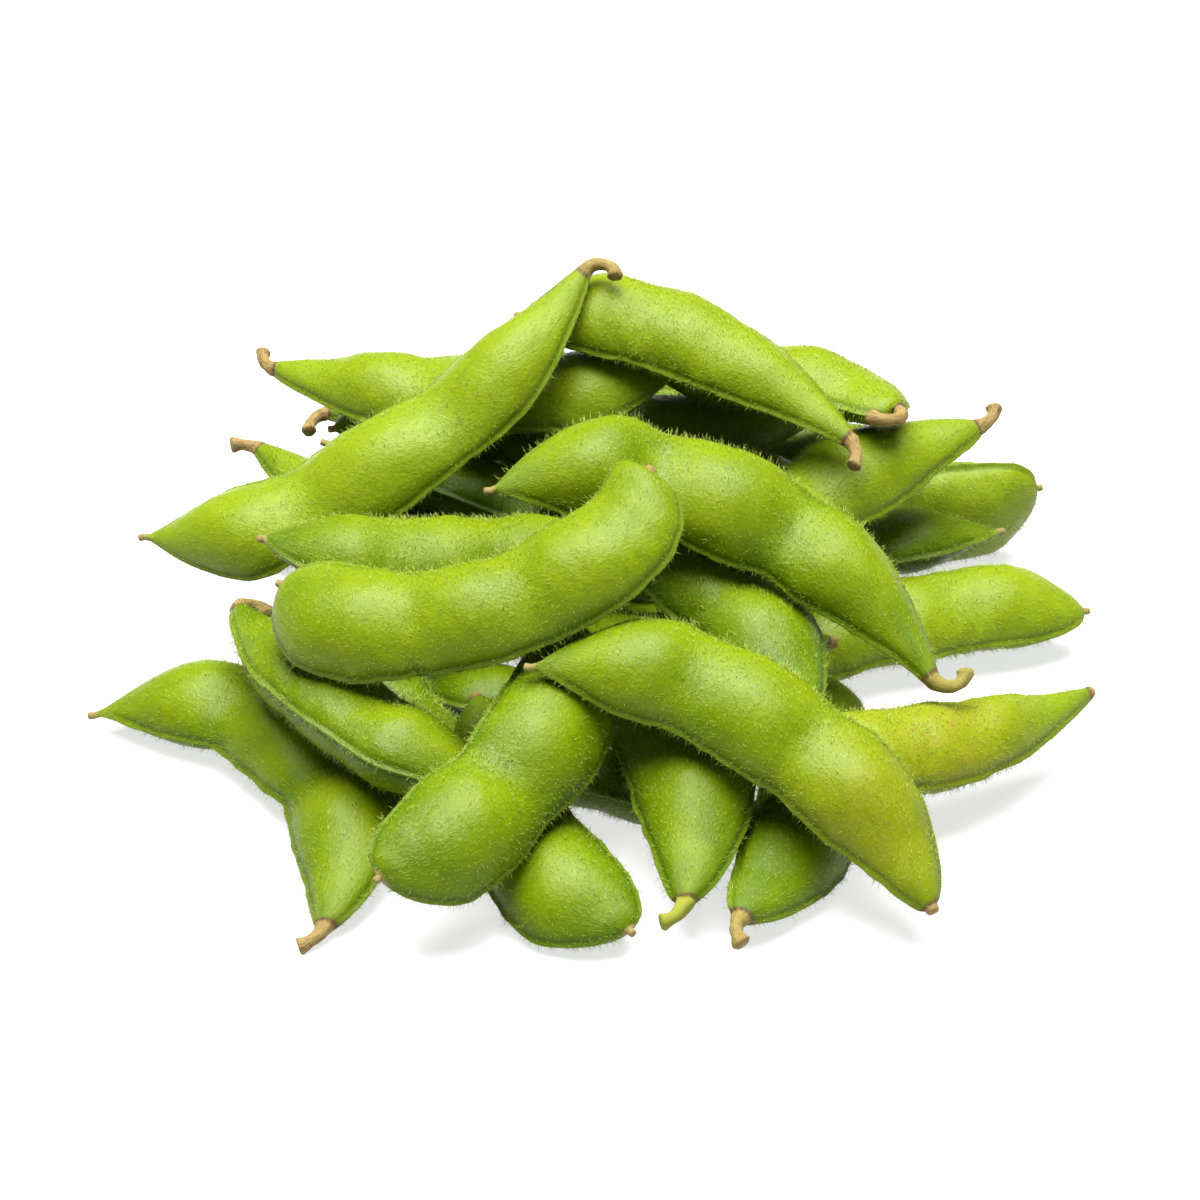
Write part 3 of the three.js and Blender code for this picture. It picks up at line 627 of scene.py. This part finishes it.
def skin_material():
    """The pods' skin. The scales of its noises are in waves to the millimetre."""
    material, nodes, links, shader = new_material("pod_skin")

    def feed(socket, value):
        if isinstance(value, bpy.types.NodeSocket):
            links.new(value, socket)
        else:
            socket.default_value = (*value, 1) if isinstance(value, tuple) else value

    def attribute(name, output="Fac"):
        node = nodes.new("ShaderNodeAttribute")
        node.attribute_name = name
        return node.outputs[output]

    def noise(vector, scale, detail=3.0, rough=0.5):
        node = nodes.new("ShaderNodeTexNoise")
        node.inputs["Scale"].default_value = scale
        node.inputs["Detail"].default_value = detail
        node.inputs["Roughness"].default_value = rough
        links.new(vector, node.inputs["Vector"])
        return node.outputs["Fac"]

    def stretched(vector, scale, turned=0.0):
        """Coordinates turned about the third axis and then stretched."""
        turning = nodes.new("ShaderNodeMapping")
        turning.inputs["Rotation"].default_value = (0, 0, math.radians(turned))
        links.new(vector, turning.inputs["Vector"])
        node = nodes.new("ShaderNodeMapping")
        node.inputs["Scale"].default_value = scale
        links.new(turning.outputs["Vector"], node.inputs["Vector"])
        return node.outputs["Vector"]

    def ranged(value, low, high, out_low=0.0, out_high=1.0):
        node = nodes.new("ShaderNodeMapRange")
        node.interpolation_type = "SMOOTHSTEP"
        links.new(value, node.inputs["Value"])
        for socket, number in zip(("From Min", "From Max", "To Min", "To Max"),
                                  (low, high, out_low, out_high)):
            node.inputs[socket].default_value = number
        return node.outputs["Result"]

    def mixed(factor, a, b):
        node = nodes.new("ShaderNodeMix")
        node.data_type = "RGBA"
        sockets = {s.identifier: s for s in node.inputs}
        for identifier, value in (("Factor_Float", factor), ("A_Color", a), ("B_Color", b)):
            feed(sockets[identifier], value)
        return {s.identifier: s for s in node.outputs}["Result_Color"]

    def maths(operation, a, b):
        node = nodes.new("ShaderNodeMath")
        node.operation = operation
        feed(node.inputs[0], a)
        feed(node.inputs[1], b)
        return node.outputs[0]

    flow = attribute("flow", "Vector")
    patches = noise(flow, 0.11, 2.0)
    mottle = noise(stretched(flow, (0.5, 1, 1)), 0.55, 4.0, 0.6)
    fine = noise(flow, 2.2, 3.0, 0.6)
    wrinkles = noise(stretched(flow, (0.9, 1.5, 1.3), 38), 1.5, 4.0, 0.62)
    folds = noise(stretched(flow, (2.4, 0.5, 0.5), -8), 0.8, 3.0, 0.6)

    # The pod's own colour with painted light: painted highlight on the pods on top, painted shade on those
    # in the gaps.
    tone_with_light = maths("ADD", maths("MULTIPLY", attribute("tone_and_light"), TONE_AND_LIGHT_PULL), patches)
    skin = mixed(ranged(tone_with_light, 0.28, 0.72), DEEP_GREEN, YELLOW_GREEN)
    # Painted highlight on the pods on top of the heap.
    skin = mixed(ranged(attribute("tone_and_light"), 0.3, 1.2, 0.0, PAINTED_HIGHLIGHT_MOST), skin, PAINTED_HIGHLIGHT_GREEN)
    skin = mixed(maths("MULTIPLY", ranged(mottle, 0.45, 0.75), FRESH_WEIGHT), skin, FRESH_GREEN)
    # Lighter over the bean crowns: partly the skin's own colour there, partly painted highlight.
    skin = mixed(maths("MULTIPLY", attribute("bean"), BEAN_TONE_AND_HIGHLIGHT_WEIGHT), skin, BEAN_TONE_AND_HIGHLIGHT)
    # Painted glints on the raised wrinkles and grain.
    skin = mixed(maths("MULTIPLY", ranged(wrinkles, 0.5, 0.75), WRINKLE_GLINT_WEIGHT), skin, PAINTED_GLINT_GREEN)
    skin = mixed(maths("MULTIPLY", ranged(fine, 0.57, 0.7), PAINTED_GLINT_WEIGHT), skin, PAINTED_GLINT_GREEN)
    yellowing = attribute("yellowing")
    skin = mixed(maths("MULTIPLY", yellowing, ranged(mottle, 0.3, 0.6, 0.4, 1.0)), skin, YELLOWED)
    specks = maths("MULTIPLY", yellowing, ranged(noise(flow, 1.1, 2.0), 0.6, 0.68))
    skin = mixed(maths("MULTIPLY", specks, SPECK_WEIGHT), skin, SPECK_TAN)
    skin = mixed(maths("MULTIPLY", attribute("margin"), MARGIN_WEIGHT), skin, MARGIN_GREEN)
    # Painted shade in the grooves beside the seams.
    skin = mixed(maths("MULTIPLY", attribute("groove"), GROOVE_SHADE_WEIGHT), skin, GROOVE_SHADE_GREEN)
    skin = mixed(maths("MULTIPLY", attribute("ridge"), RIDGE_WEIGHT), skin, RIDGE_GREEN)

    bark = noise(stretched(flow, (0.6, 1, 1)), 1.1, 4.0, 0.65)
    stem_fac = attribute("stem")
    stem = mixed(ranged(bark, 0.42, 0.68), STEM_TAN, STEM_BROWN)
    stem = mixed(attribute("green_stem"), stem, STEM_GREEN)
    collar = maths("MULTIPLY", ranged(stem_fac, 0.2, 0.55), ranged(stem_fac, 0.65, 1.0, 1.0, 0.0))
    skin = mixed(ranged(stem_fac, 0.2, 0.9), skin, stem)
    skin = mixed(maths("MULTIPLY", collar, ranged(bark, 0.3, 0.6, 0.25, 0.9)), skin, COLLAR_BROWN)
    skin = mixed(ranged(attribute("beak"), 0.1, 0.8), skin, BEAK_TAN)
    links.new(skin, shader.inputs["Base Color"])

    rough = ranged(mottle, 0.3, 0.7, *SKIN_ROUGHNESS)
    rough = maths("ADD", rough, maths("MULTIPLY", stem_fac, STEM_ROUGHER))
    links.new(rough, shader.inputs["Roughness"])
    shader.inputs["Specular IOR Level"].default_value = SKIN_SPECULAR
    shader.inputs["Subsurface Weight"].default_value = 0.1
    shader.inputs["Subsurface Radius"].default_value = (0.7, 1.0, 0.2)
    shader.inputs["Subsurface Scale"].default_value = SKIN_DEPTH

    relief = maths("ADD", maths("MULTIPLY", fine, FINE_RELIEF), wrinkles)
    relief = maths("ADD", relief, maths("MULTIPLY", folds, attribute("waist")))
    bump = nodes.new("ShaderNodeBump")
    bump.inputs["Strength"].default_value = BUMP_STRENGTH
    bump.inputs["Distance"].default_value = BUMP_HEIGHT
    links.new(relief, bump.inputs["Height"])
    links.new(bump.outputs["Normal"], shader.inputs["Normal"])
    return material


def hair_material():
    material, _, _, shader = new_material("pod_down")
    shader.inputs["Base Color"].default_value = (*HAIR_PALE, 1)
    shader.inputs["Roughness"].default_value = 0.45
    shader.inputs["Specular IOR Level"].default_value = 0.4
    return material


FLOW_STEP = 37.0  # mm between one pod's pattern and the next one's
FIRST_SEED = 100  # of the first pod's random draws, and the next pod has the next one


def write_looks(piece, looks, flow):
    """Gives the piece's points, and the two that close its ends, what its finish reads."""
    for key, values in looks.items():
        layer = piece.data.attributes.new(key, "FLOAT", "POINT")
        spread = np.concatenate([values.ravel(), [values[0, 0], values[-1, 0]]])
        layer.data.foreach_set("value", spread.astype(np.float32))
    layer = piece.data.attributes.new("flow", "FLOAT_VECTOR", "POINT")
    spread = np.vstack([flow.reshape(-1, 3), flow[0, 0], flow[-1, 0]])
    layer.data.foreach_set("vector", spread.astype(np.float32).ravel())


def dress_pod(name, pod, number, skin, down):
    """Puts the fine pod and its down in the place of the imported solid."""
    draw = np.random.default_rng(FIRST_SEED + number)
    turn, shift = lie_of(pod, name)
    points, looks, flow = fine_pod(pod, draw)
    points = points @ turn.T + shift
    points[..., 2] = np.maximum(points[..., 2], 0)
    ends = np.stack([points[0].mean(0), points[-1].mean(0)])
    flat = np.vstack([points.reshape(-1, 3), ends])
    piece = make_mesh("fine_" + name, flat, ring_faces(len(points)), skin)
    even = np.ones(points.shape[:2])
    # The pod's own colour with painted light: painted highlight on the pods on top, painted shade on those
    # beneath and in the gaps.
    usual = draw.uniform(*(USUAL_PALE if name in IN_VIEW else BENEATH_PAINTED_SHADE))
    looks["tone_and_light"] = even * TONE_AND_PAINTED_LIGHT.get(name, usual)
    looks["green_stem"] = even * GREEN_STEM.get(name, 0)
    spot, turned = YELLOWING.get(name, (0, 0))
    looks["yellowing"] = turned * near(flow[..., 0], spot, YELLOW_REACH)
    write_looks(piece, looks, flow + number * FLOW_STEP)
    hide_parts("pod_" + name)
    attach(piece, "root")
    count = HAIRS_IN_VIEW if name in IN_VIEW else HAIRS_HIDDEN
    fur = hairs(name, points, looks, count, down, draw)
    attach(fur, "root")


skin = skin_material()
down = hair_material()
for number, (name, row) in enumerate(PODS.items()):
    dress_pod(name, dict(zip(COLUMNS, row)), number, skin, down)


# ---------------------------------------------------------------- studio
AIM = Vector((0.3, -3.0, 13.7)) * MM
CAMERA_DISTANCE = 450 * MM
CAMERA_ELEVATION = 32  # degrees
CAMERA_LENS = 100  # mm
CAMERA_SENSOR = 36  # mm
FLOOR_SIZE = 6  # metres
FLOOR_GREY = 0.3
FLOOR_ROUGHNESS = 0.6
FLOOR_GLOW = 0.7  # a light table: its glow fills the shadows on it
TOP_LIGHT = {"place": (-0.03, 0.08, 1.02), "size": 0.95, "power": 55}
FILL_LIGHT = {"place": (0.3, -0.9, 0.55), "size": 0.9, "power": 1.5}
WORLD_STRENGTH = 0.14


def look_at(piece, place, target):
    piece.location = place
    piece.rotation_euler = (target - place).to_track_quat("-Z", "Y").to_euler()


def soft_light(name, place, size, power):
    lamp = bpy.data.lights.new(name, "AREA")
    lamp.size = size
    lamp.energy = power
    light = bpy.data.objects.new(name, lamp)
    look_at(light, Vector(place), AIM)
    bpy.context.scene.collection.objects.link(light)


def floor():
    bpy.ops.mesh.primitive_plane_add(size=FLOOR_SIZE, location=(0, 0, 0))
    plane = bpy.context.object
    plane.name = "studio_floor"
    material, _, _, shader = new_material("studio_white")
    shader.inputs["Base Color"].default_value = (FLOOR_GREY, FLOOR_GREY, FLOOR_GREY, 1)
    shader.inputs["Emission Color"].default_value = (1, 1, 1, 1)
    shader.inputs["Emission Strength"].default_value = FLOOR_GLOW
    shader.inputs["Roughness"].default_value = FLOOR_ROUGHNESS
    shader.inputs["Specular IOR Level"].default_value = 0.2
    plane.data.materials.append(material)


def plain_world():
    world = bpy.data.worlds.new("studio")
    world.use_nodes = True
    background = world.node_tree.nodes["Background"]
    background.inputs["Color"].default_value = (1, 1, 1, 1)
    background.inputs["Strength"].default_value = WORLD_STRENGTH
    bpy.context.scene.world = world
    bpy.context.scene.view_settings.view_transform = "Standard"


def photo_camera():
    camera = bpy.data.objects.new("camera", bpy.data.cameras.new("camera"))
    camera.data.lens = CAMERA_LENS
    camera.data.sensor_width = CAMERA_SENSOR
    elevation = math.radians(CAMERA_ELEVATION)
    away = Vector((0, -math.cos(elevation), math.sin(elevation)))
    look_at(camera, AIM + CAMERA_DISTANCE * away, AIM)
    bpy.context.scene.collection.objects.link(camera)
    bpy.context.scene.camera = camera


floor()
soft_light("top", **TOP_LIGHT)
soft_light("fill", **FILL_LIGHT)
plain_world()
photo_camera()
